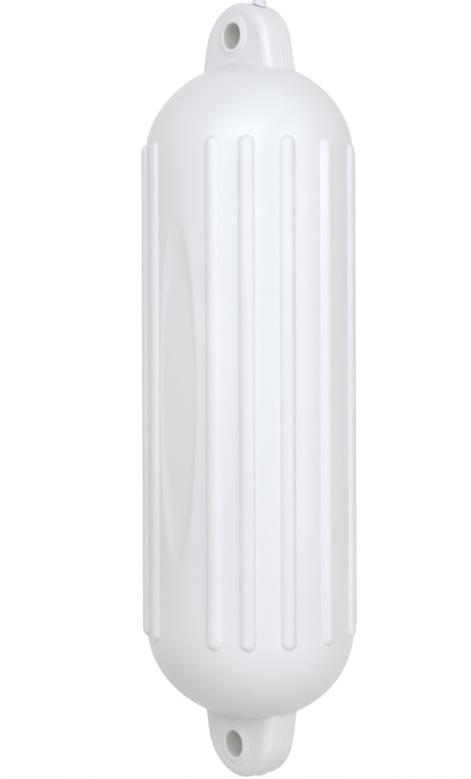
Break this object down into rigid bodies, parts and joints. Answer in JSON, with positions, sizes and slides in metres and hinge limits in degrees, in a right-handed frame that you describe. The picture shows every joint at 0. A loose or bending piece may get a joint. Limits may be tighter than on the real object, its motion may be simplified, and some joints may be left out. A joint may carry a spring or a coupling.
{
  "type": "boat fender",
  "caption": "Ribbed cylindrical inflatable fender with domed ends, a moulded rope eye at each end, a bare label recess and a small inflation valve.",
  "frame": {"origin": "middle of the barrel, on its axis", "axes": "+Z along the barrel towards the eye that has the valve, +Y along the rope holes, the label recess faces nearly along -Y"},
  "size_m": [0.1633, 0.1632, 0.5952],
  "materials": {
    "white_vinyl": "satin-gloss moulded soft vinyl",
    "valve_plastic": "plain moulded"
  },
  "bodies": {
    "root": {"fender_shell": "white_vinyl", "inflation_valve": "valve_plastic"}
  },
  "joints": []
}
